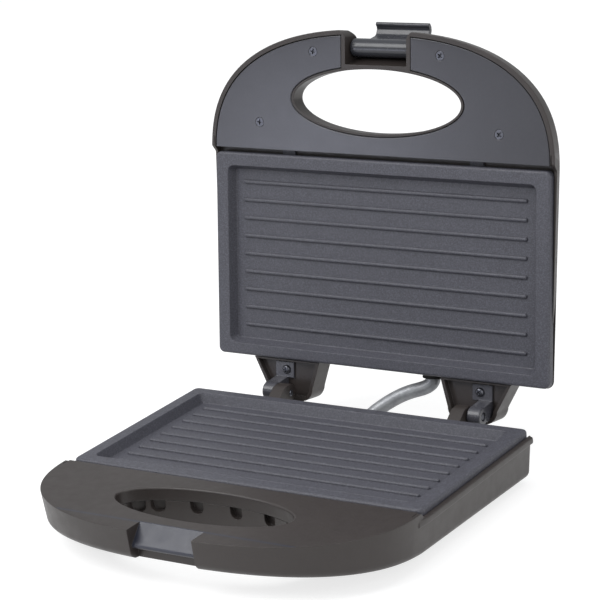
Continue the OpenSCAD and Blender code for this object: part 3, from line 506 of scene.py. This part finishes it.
def outer_form(form):
    """Housing with the step for its plate, and low rims beside the plate."""
    step = ease(STEP_V + 1.2, 5.5, RIM, 17)
    above = across(WIDE, [(-FAR, -FAR), (-FAR, RIM)] + step + [(STEP_V + 6.7, -FAR)])
    rise = ease(124.2, 5.6, 3.8, 13)
    side_x, rear, front, foot = 116.45, 0.8, 136, 9
    strip = across(2, [(rear, foot), (rear, 3.8)] + rise + [(front, 0), (front, foot)], side_x)
    sides = common(both(strip), whole(form))
    wall = block(-PLATE_HALF, PLATE_HALF, STEP_V, STEP_V + 7.5, 0, RIM)
    return joined(cut(whole(form), above), wall, sides)


def inner_form(form, rings):
    """Hollow of a housing, less the shelf that carries the plate."""
    top, front = RIM + WALL, STEP_V + 7.8
    return cut(loft(form, rings),
        across(WIDE, [(-FAR, -FAR), (-FAR, top), (front, top), (front, -FAR)]))


def plate_window():
    """Opening for the plate's tub."""
    return slab(CAVITY_HALF + 0.6, CAVITY_V0 - 0.6, CAVITY_V1 + 0.6, CAVITY_R,
        [(0, RIM - 1), (0, RIM + WALL + 1)])


def lug_pockets(d0):
    """Room for the plate's two lugs in the step."""
    return [block(s * LUG_X - 4.7, s * LUG_X + 4.7, STEP_V - 1, STEP_V + 6.8, d0, RIM)
        for s in (-1, 1)]


def cluster(*meshes):
    """One mesh of solids that don't touch."""
    points, faces = [], []
    for mesh in meshes:
        first = len(points)
        points += [tuple(v.co) for v in mesh.vertices]
        faces += [tuple(first + i for i in p.vertices) for p in mesh.polygons]
    return solid(points, faces)


def flipped(mesh):
    """The same solid on the other side."""
    mesh = mesh.copy()
    mesh.transform(Matrix.Scale(-1, 4, (1, 0, 0)))
    mesh.flip_normals()
    return mesh


def both(mesh):
    """Solid and its mirror image, well apart."""
    return cluster(mesh, flipped(mesh))


def both_sides(mesh):
    """Solid and its mirror image, where they may touch."""
    return joined(mesh, flipped(mesh))


def collar(half_x, half_v, t, d0, d1):
    """Oval wall round the finger hole, t thick."""
    return cut(oval([(half_x + t, half_v + t, d0), (half_x + t, half_v + t, d1)]),
        oval([(half_x, half_v, d0 - 1), (half_x, half_v, d1 + 1)]))


def arc(cx, cy, r, a0, a1, steps):
    """Points on an arc, its angles in degrees."""
    angles = [math.radians(a0 + (a1 - a0) * i / steps) for i in range(steps + 1)]
    return [(cx + r * math.cos(a), cy + r * math.sin(a)) for a in angles]


def around(points, i):
    """The four points about the stretch from i to i + 1, the ends repeated."""
    return [points[min(max(i + k, 0), len(points) - 1)] for k in (-1, 0, 1, 2)]


def curve(p0, p1, p2, p3, t):
    """Point between p1 and p2 on a smooth curve through all four."""
    return 0.5 * (2 * p1 + (p2 - p0) * t + (2 * p0 - 5 * p1 + 4 * p2 - p3) * t * t
        + (3 * p1 - p0 - 3 * p2 + p3) * t ** 3)


def heading(points, i):
    """Direction of a path at one of its points."""
    return (points[min(i + 1, len(points) - 1)] - points[max(i - 1, 0)]).normalized()


def add(name, node, mesh):
    """Piece that stands for a node, in the place of the node's half."""
    mesh = mesh.copy()
    lid = BODY[node] != "base"
    mesh.transform(LID if lid else BASE)
    if lid:
        mesh.flip_normals()
    mesh.transform(Matrix.Scale(MM, 4))
    return keep(name, node, mesh)


def keep(name, node, mesh):
    """Piece from a mesh in metres. The conduit rides on neither half."""
    bm = bmesh.new()
    bm.from_mesh(mesh)
    bmesh.ops.remove_doubles(bm, verts=bm.verts, dist=2e-6)
    bm.to_mesh(mesh)
    bm.free()
    mesh.name = name
    mesh.materials.clear()
    mesh.materials.append(MATERIALS[SLOTS[node]])
    mesh.shade_smooth()
    mesh.set_sharp_from_angle(angle=SHARP)
    ob = bpy.data.objects.new(name, mesh)
    bpy.context.scene.collection.objects.link(ob)
    weight = ob.modifiers.new("normals", "WEIGHTED_NORMAL")
    weight.keep_sharp = True
    graph = bpy.context.evaluated_depsgraph_get()
    ob.data = bpy.data.meshes.new_from_object(ob.evaluated_get(graph))
    ob.modifiers.clear()
    if node != "wire_conduit":
        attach(ob, BODY[node])
    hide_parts(node)
    return ob


# CAD nodes that keep their shape
for name, ob in frame["nodes"].items():
    ob.data.materials.clear()
    ob.data.materials.append(MATERIALS[SLOTS[name]])
    ob.data.shade_smooth()
    ob.data.set_sharp_from_angle(angle=SHARP)


# Base

def base_housing():
    inner = inner_form(BASE_FORM, [(WALL, False, WALL)] + edge(BASE_FORM, WALL)
        + [(7.0, True, WALL), (7.0, True, -5)])
    body = cut(outer_form(BASE_FORM), inner, plate_window())
    bead = outward(stack([
        [(x, v, d) for x, v in arc(115.76, 2.6, 1.7 - i, 180, 360, 8)
            + [(117.46 - i, 122), (116.2 - i, 131), (114.06 + i, 131)]]
        for i, d in ((0.9, 3.9), (0.3, 4.1), (0, 4.7), (0, 6.9), (0.3, 7.5), (0.9, 7.7))
    ]))
    arm = joined(bar(HINGE_V, BASE_HINGE_D, KNUCKLE_R, 57.45, 65.95), across(4.2, [
        (HINGE_V, -1.13), (-13.05, -0.73), (0, 8.4), (0.8, 24), (-4, 23), (HINGE_V, 9.87)
    ], 61.7))

    # Walls round the latch notch, the lip under which the hook catches, and the ramp up to it
    rear, side = 190.8, NOTCH + WALL
    walls = across(side, [(186.2, 0.4), (REACH, 0.4), (REACH, 12), (193.7, 14), (193.2, 40),
        (rear, 40), (rear, 10.3)])
    cheeks = both(block(NOTCH, side, rear, REACH, 0.4, 40))
    ramp = [(189.2, -1), (189.2, 0)] + arc(196.6, 10.3, 1.7, -45, 90, 10)
    ramp += [(193.2, 12.6), (193.2, FAR), (222, FAR), (222, -1)]

    # Finger hole with a rounded upper edge
    hx, hv = BASE_OVAL
    r = 1.2
    rounded = [(hx + r * (1 - math.sin(a)), hv + r * (1 - math.sin(a)), r * (1 - math.cos(a)))
        for a in quarter(6)]
    hole = oval([(hx + r, hv + r, -1)] + rounded + [(hx, hv, 8.5)])

    body = joined(body, collar(hx, hv, 2, 0.4, 7.5), both(bead), both(arm),
        common(joined(walls, cheeks), whole(BASE_FORM)),
        bore(*CORD_HOLE, 8.6, -2, 4), bore(*BASE_CONDUIT, 6.6, -2, 4))
    return cut(body, hole, across(NOTCH, ramp), *lug_pockets(WALL),
        bore(*CORD_HOLE, 5.4, -10, 10), bore(*BASE_CONDUIT, 5.6, -10, 10))


def bottom_cover():
    hx, hv = BASE_OVAL
    face = lambda v: float(face_depth(BASE_FORM, v))
    form = loft(BASE_FORM, [(7.4, True, 2.2), (7.4, True, 0.3), (7.7, True, 0)])
    lower = common(collar(hx, hv, 5.5, 7.7, 40), across(WIDE, [(100, 0), (100, 25.2),
        (SHOULDER, face(SHOULDER) - 1), (REACH, face(REACH) - 1), (REACH, 0)]))
    seats = cluster(*[turned("d", (x, v, 0), [(9.4, face(v) - 2), (8.6, 28.6), (8.2, 29.3)])
        for x, v in FEET])
    body = joined(form, lower, seats)
    wells = cluster(*[post(x, v, 7.1, 27.8, FAR) for x, v in FEET])

    # Small openings in the rear wall of the finger hole
    openings = cluster(*[joined(block(x - 4, x + 4, 128, 156, 0, 10.5), bore(x, 10.5, 4, 128, 156))
        for x in (-51, -40.5, -18, 7.3, 31, 49)])
    openings = common(openings, oval([(hx + 3.4, hv + 3.4, 0), (hx + 3.4, hv + 3.4, 30)]))

    # Two rows of vents
    vents = []
    rows = [slab(1.5, v - 8, v + 8, 1.49, [(0, face(v) - 6), (0, FAR)]) for v in (50, 80)]
    for i in range(-3, 4):
        for row in rows:
            vent = row.copy()
            vent.transform(Matrix.Translation((18 * i, 0, 0)))
            vents.append(vent)

    side = NOTCH + WALL + 0.4
    return cut(body, oval([(hx, hv, 0), (hx, hv, FAR)]), openings, cluster(*vents), wells,
        block(-side, side, 190.4, REACH + 1, 0, FAR))


# Lid

def ear():
    """Hollow cover of the right hinge, with a softened outer face."""
    def shell(x0, x1, v0, r):
        bends = arc(71.5, 17.4, r, 0, 90, 8) + arc(55, 17.4, r, 90, 180, 8)
        return [(x1, v0)] + [(x, -y) for x, y in bends] + [(x0, v0)]

    middle = 65
    body = outward(stack([
        [(middle + (x - middle) * k, v * k, d) for x, v in shell(42, 88.5, -0.4, 8)]
        for k, d in ((1, 2.4), (1, 16.5), (0.985, 17.5), (0.95, 18))
    ]))
    return cut(body, flat(shell(44.4, 86.1, -1.6, 5.6), -2, 6.5))


def finger_hole(form, hx, hv, r):
    """Finger hole of the lid, with an outer edge rounded by r that follows the outer face."""
    rounded = []
    for a in quarter(8):
        i = r * (1 - math.cos(a))
        rounded.append([(x, v, float(face_depth(form, v)) - r * (1 - math.sin(a)))
            for x, v, _ in ellipse(hx + i, hv + i, 0)])
    return outward(stack([ellipse(hx, hv, -1)] + rounded + [ellipse(hx + r, hv + r, FAR)]))


def lid_housing():
    inner = inner_form(LID_FORM, [(WALL, False, 2.2), (WALL, False, 8)] + edge(LID_FORM, WALL))
    window = common(loft(LID_FORM, [(2.8, False, -2), (2.8, False, 2.2)]),
        block(-130, 130, STEP_V - 1, REACH + 1, -5, 2.2))
    body = cut(outer_form(LID_FORM), inner, plate_window(), window)

    # Walls and stands inside, kept 1.2 mm from the outer face
    hx, hv = LID_OVAL
    core = loft(LID_FORM, [(1.2, False, 0), (1.2, False, 8), (1.2, True, 1.2)])
    stands = [
        collar(hx, hv, 1.5, 0, 40),
        collar(hx, hv, 3, 2.2, 40),
        block(-NOTCH - 2.6, NOTCH + 2.6, 178.8, REACH, 0, 40),
        both(cluster(*[post(x, v, 3.6, 2.2, 40) for x, v in COVER_SCREWS])),
        both(post(LUG_X, LUG_V, 3.4, 8.8, 14)),
    ]
    body = joined(body, common(joined(*stands), core), both_sides(ear()), bore(*LID_CONDUIT, 6.6, -2, 4))

    # Gap for the latch, with a roof behind it and rounded front corners
    gap = across(NOTCH, [(181.2, -1), (181.2, 4.4), (184.3, 12.4), (185.4, 15.8), (190, 15.8),
        (190, FAR), (222, FAR), (222, -1)])
    roof = across(NOTCH + 1, [(178, 15.4), (190, 15.4), (190, 17.4), (180, 17.4)])
    corner = [(20.5, 196)] + arc(25.9, 196, 5.3, 180, 90, 8) + [(25.9, 204), (20.5, 204)]
    lenses = cluster(*[post(x, LENS_V, 3.7, 18, FAR) for x in (-LENS_X, LENS_X)])
    return cut(joined(body, roof), finger_hole(LID_FORM, hx, hv, 5.5), gap,
        both(flat(corner, -1, FAR)), *lug_pockets(-1), bar(LATCH_V, LATCH_D, LATCH_BORE, -28.7, 28.7),
        bore(*LID_CONDUIT, 5.6, -10, 10), lenses)


def lid_handle_cover():
    lip = [(3.7, False, 0), (3.4, False, 0.1), (3.25, False, 0.35), (3.25, False, 2.2)]
    form = common(loft(LID_FORM, lip), block(-130, 130, STEP_V + 0.2, REACH, -1, 3))
    holes = [
        oval([(59.2, 21.3, -1), (59.2, 21.3, 0), (58.7, 20.8, 0.4), (58.7, 20.8, 3)]),
        block(-23.7, 23.7, 178.4, REACH + 1, -1, 3),
    ]
    for x, v in COVER_SCREWS:
        holes.append(both(turned("d", (x, v, 0), [(3.0, -1), (3.0, 0), (1.8, 1.5), (1.8, 3)])))
    return cut(form, *holes)


# Cooking plates

def cooking_plate():
    """Ribbed plate with a rounded edge, a tub behind its cavity, two lugs and four pads."""
    skirt, lip, foot, rib = 5.1, 0.45, 0.9, 1.3
    edge_r = 1.7
    soft = [(edge_r * (1 - math.sin(a)), edge_r * (1 - math.cos(a))) for a in quarter(5)]
    body = slab(PLATE_HALF, 0, PLATE_D, 3.8, soft + [(0, skirt)])
    tub = slab(CAVITY_HALF, CAVITY_V0, CAVITY_V1, CAVITY_R, [(0, 0.5), (0, 7.4), (1.0, 8.4)])
    under = cut(slab(PLATE_HALF - WALL, WALL, PLATE_D - WALL, 1.4, [(0, 2.4), (0, 6.5)]), tub)
    body = joined(cut(body, under), tub)

    x0, x1 = 59.7, 68.3
    lugs = both(joined(block(x0, x1, PLATE_D - WALL, PLATE_D, 1.5, RIM),
        cut(block(x0, x1, PLATE_D - 0.5, 134.6, 5.6, RIM), post(LUG_X, LUG_V, 1.7, 5, 8))))
    pads = cluster(*[post(x, v, 2.4, 2, RIM) for x in (-109.4, 109.4) for v in (12, 113.4)])
    body = joined(body, lugs, pads)

    # Cavity with a softened lip and a rounded foot, and the ribs on its floor
    cavity = [(-lip, -1)] + [(-lip + lip * math.sin(a), lip * (1 - math.cos(a))) for a in quarter(4)]
    cavity += [(2.1 + foot * (1 - math.cos(a)), 5.1 + foot * math.sin(a)) for a in quarter(5)]
    body = cut(body, slab(CAVITY_HALF, CAVITY_V0, CAVITY_V1, CAVITY_R, cavity))
    ends = [math.radians(a) for a in (5, 20, 40, 60, 80, 90)]
    rings = [(rib * math.sin(a), -97 + rib - rib * math.cos(a)) for a in ends]
    rings += [(r, -t) for r, t in reversed(rings)]
    return joined(body, cluster(*[turned("x", (0, 18.6 + 11.05 * i, 5.75), rings, 28) for i in range(9)]))


# Hinges, latch and screws

def hinge_bracket():
    knuckle = bar(HINGE_V, LID_HINGE_D, KNUCKLE_R, 66.45, 74.95)
    arm = across(4.25, [(-23.05, -1.77), (-22.05, 15.6), (-3, 15.6), (-3, 7), (-11.5, 7),
        (-14.05, LID_HINGE_D)], 70.7)
    seat = block(61.95, 74.95, -12.2, -2.6, 5.2, 15.6)
    return cut(joined(knuckle, arm, seat), bar(HINGE_V, LID_HINGE_D, 2.6, 73.6, 80, 0.1))


def hinge_pin():
    return turned("x", (0, HINGE_V, LID_HINGE_D), [(1.6, 56.7), (2, 57.1), (2, 74.1), (1.6, 74.5)])


def screw(x, v, d, out, length, countersunk=False):
    """Cross-recessed screw whose head faces the depth "out" (-1 or 1)."""
    if countersunk:
        top, inwards = d, 1
        rings = [(2.55, d), (HEAD_R, d + 0.12), (SHANK_R, d + 1.5), (SHANK_R, d + length)]
    else:
        top, inwards = d + out * HEAD_H, -out
        rings = [(1.2, top), (1.9, d + out * 1.68), (2.45, d + out * 1.2), (HEAD_R, d + out * 0.5),
            (HEAD_R, d), (SHANK_R, d), (SHANK_R, d - out * length)]
    body = turned("d", (x, v, 0), rings, 32)
    a, b = sorted((top - inwards * 0.4, top + inwards * 1.1))
    arms = [block(x - p, x + p, v - q, v + q, a, b) for p, q in ((1.65, 0.34), (0.34, 1.65))]
    well = turned("d", (x, v, 0),
        [(0.95, top - inwards * 0.4), (0.9, top), (0.5, top + inwards * 1.3)], 12)
    cross = joined(*arms, well)
    cross.transform(Matrix.Translation((x, v, 0))
        @ Matrix.Rotation(math.radians(24 + 7 * x), 4, "Z") @ Matrix.Translation((-x, -v, 0)))
    return cut(body, cross)


def latch_clip():
    """Barrel with an arm and a hook, in the rest pose."""
    # Middle line of the latched arm and hook from the pin, as (v, depth), turned back to rest
    closed = ((0, 0), (10.6, -17), (10.4, -22.5), (8.6, -24.5), (6.6, -24.9))
    turn = math.radians(LATCH_TURN)
    path = [Vector((LATCH_V + v * math.cos(turn) - d * math.sin(turn),
        LATCH_D + v * math.sin(turn) + d * math.cos(turn))) for v, d in closed]
    fine = [path[0].lerp(path[1], k / 10 * 0.96) for k in range(10)]
    for i in range(1, len(path) - 1):
        fine += [curve(*around(path, i), k / 6) for k in range(6)]
    fine.append(path[-1])

    half = 1.25
    left, right = [], []
    for i, p in enumerate(fine):
        d = heading(fine, i)
        n = Vector((-d[1], d[0])) * half
        left.append(tuple(p + n))
        right.append(tuple(p - n))
    d = heading(fine, len(fine) - 1)
    end = math.degrees(math.atan2(d[1], d[0]))
    nose = arc(fine[-1][0], fine[-1][1], half, end + 80, end - 80, 8)
    arm = across(18, left + nose + right[::-1])
    barrel = bar(LATCH_V, LATCH_D, KNUCKLE_R, -20.2, 20.2, 0.6)
    return cut(joined(barrel, arm), bar(LATCH_V, LATCH_D, LATCH_BORE, -40, 40))


def conduit():
    """Sleeve with the wires from the base to the lid."""
    route = [(-6, 4, -17), (-6, 12, -17), (-5, 18, -15.5), (-1, 23, -11.5), (5, 27.5, -7),
        (12, 31.5, -3), (18, 34.6, -0.6), (23.6, 37.2, 0.9), (27, 38.7, 2.2), (29.3, 39.7, 3.9),
        (30.6, 40.3, 5.9), (31, 40.65, 7.8)]
    points = [Vector((x, y - MIDDLE_Y, z + FLOOR)) for x, y, z in route]
    fine = []
    for i in range(len(points) - 1):
        fine += [curve(*around(points, i), k / 6) for k in range(6)]
    fine.append(points[-1])
    loops = []
    for i, p in enumerate(fine):
        d = heading(fine, i)
        u = d.cross(Vector((0, 0.3, 1))).normalized()
        w = d.cross(u)
        loops.append([tuple(p + 4.3 * (math.cos(a) * u + math.sin(a) * w)) for a in turns(24)])
    mesh = outward(stack(loops))
    mesh.transform(Matrix.Scale(MM, 4))
    ob = keep("conduit_sleeve", "wire_conduit", mesh)
    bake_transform(ob)


# The pieces. In the latch notch the base is a little smoother and tinted blue as a painted reflection,
# from REST_V on and down to the depth REST_D
REST_V, REST_D = 188.9, 12.2
shell = add("base_shell", "base_housing", base_housing())
shell.data.materials.append(NOTCH_PAINTED_SHEEN)
for face in shell.data.polygons:
    x, y, z = face.center / MM
    if abs(x) < NOTCH - 0.02 and y < -MIDDLE_Y - REST_V and z > FLOOR - REST_D:
        face.material_index = 1
add("base_floor", "bottom_cover", bottom_cover())
add("lid_shell", "lid_housing", lid_housing())
add("lid_cover", "lid_handle_cover", lid_handle_cover())
plate = cooking_plate()
add("lower_plate", "lower_cooking_plate", plate)
add("upper_plate", "upper_cooking_plate", plate)
for side in ("left", "right"):
    bracket, pin = hinge_bracket(), hinge_pin()
    if side == "left":
        bracket, pin = flipped(bracket), flipped(pin)
    add("bracket_" + side, "hinge_bracket_" + side, bracket)
    add("pin_" + side, "hinge_pin_" + side, pin)
add("latch", "latch_clip", latch_clip())
add("cover_screws", "handle_cover_screws",
    cluster(*[screw(s * x, v, 0.05, -1, 10.2, True) for x, v in COVER_SCREWS for s in (-1, 1)]))
add("bracket_screws", "hinge_bracket_screws",
    cluster(*[screw(s * BRACKET_SCREW_X, BRACKET_SCREW_V, 5.2, -1, 7) for s in (-1, 1)]))
add("floor_screws", "bottom_cover_screws",
    cluster(*[screw(s * FLOOR_SCREW_X, v, float(face_depth(BASE_FORM, v)) + 0.1, 1, 8)
        for v in FLOOR_SCREW_V for s in (-1, 1)]))
conduit()


# Floor, backdrop and light

FLOOR_HALF, FLOOR_GLOW, DAYLIGHT = 3.0, 0.74, 0.55


def stage():
    bm = bmesh.new()
    vs = [bm.verts.new((FLOOR_HALF * x, FLOOR_HALF * y, 0))
        for x, y in ((-1, -1), (1, -1), (1, 1), (-1, 1))]
    bm.faces.new(vs)
    mesh = bpy.data.meshes.new("floor")
    bm.to_mesh(mesh)
    bm.free()
    ob = bpy.data.objects.new("floor", mesh)
    bpy.context.scene.collection.objects.link(ob)
    mat = bpy.data.materials.new("floor")
    mat.use_nodes = True
    tree = mat.node_tree
    shader = tree.nodes["Principled BSDF"]
    shader.inputs["Base Color"].default_value = (0.4, 0.4, 0.4, 1)
    shader.inputs["Roughness"].default_value = 0.9
    shader.inputs["Specular IOR Level"].default_value = 0.1
    ob.data.materials.append(mat)
    return mat


def floor_white(mat):
    """Seen by the camera the floor is near white, and keeps the object's shadow."""
    tree = mat.node_tree
    shader = tree.nodes["Principled BSDF"]
    out = tree.nodes["Material Output"]
    path = tree.nodes.new("ShaderNodeLightPath")
    either = tree.nodes.new("ShaderNodeMath")
    either.operation = "MAXIMUM"
    tree.links.new(path.outputs["Is Camera Ray"], either.inputs[0])
    tree.links.new(path.outputs["Is Glossy Ray"], either.inputs[1])
    glow = tree.nodes.new("ShaderNodeEmission")
    glow.inputs["Color"].default_value = (1, 1, 1, 1)
    glow.inputs["Strength"].default_value = FLOOR_GLOW
    black = tree.nodes.new("ShaderNodeEmission")
    black.inputs["Strength"].default_value = 0
    choose = tree.nodes.new("ShaderNodeMixShader")
    tree.links.new(either.outputs[0], choose.inputs[0])
    tree.links.new(black.outputs[0], choose.inputs[1])
    tree.links.new(glow.outputs[0], choose.inputs[2])
    add = tree.nodes.new("ShaderNodeAddShader")
    tree.links.new(shader.outputs[0], add.inputs[0])
    tree.links.new(choose.outputs[0], add.inputs[1])
    tree.links.new(add.outputs[0], out.inputs[0])


def world():
    """Even daylight, and plain white where the camera sees the backdrop."""
    w = bpy.data.worlds.new("world")
    bpy.context.scene.world = w
    w.use_nodes = True
    tree = w.node_tree
    back = tree.nodes["Background"]
    out = tree.nodes["World Output"]
    back.inputs["Color"].default_value = (0.96, 0.98, 1, 1)
    back.inputs["Strength"].default_value = DAYLIGHT
    white = tree.nodes.new("ShaderNodeBackground")
    white.inputs["Color"].default_value = (1, 1, 1, 1)
    white.inputs["Strength"].default_value = 1
    path = tree.nodes.new("ShaderNodeLightPath")
    choose = tree.nodes.new("ShaderNodeMixShader")
    tree.links.new(path.outputs["Is Camera Ray"], choose.inputs[0])
    tree.links.new(back.outputs[0], choose.inputs[1])
    tree.links.new(white.outputs[0], choose.inputs[2])
    tree.links.new(choose.outputs[0], out.inputs[0])


def area(name, place, aim, size, power, colour=(1, 1, 1)):
    light = bpy.data.lights.new(name, "AREA")
    light.shape = "RECTANGLE"
    light.size, light.size_y = size
    light.energy = power
    light.color = colour
    ob = bpy.data.objects.new(name, light)
    bpy.context.scene.collection.objects.link(ob)
    ob.location = place
    ob.rotation_euler = (Vector(aim) - Vector(place)).to_track_quat("-Z", "Y").to_euler()


floor_white(stage())
world()
area("key", (-0.7, -0.9, 1.3), (0, 0, 0.08), (1.0, 1.0), 16)
area("fill", (1.2, -0.6, 0.7), (0, 0, 0.1), (1.0, 1.0), 5)
area("top", (0.1, 0.2, 1.5), (0, 0, 0), (1.2, 1.2), 8)
area("sheen", (-0.71, -0.99, 0.14), (-0.03, 0.1, 0.2), (0.22, 0.3), 1.0, (0.8, 0.83, 1))

bpy.context.scene.view_settings.view_transform = "Standard"
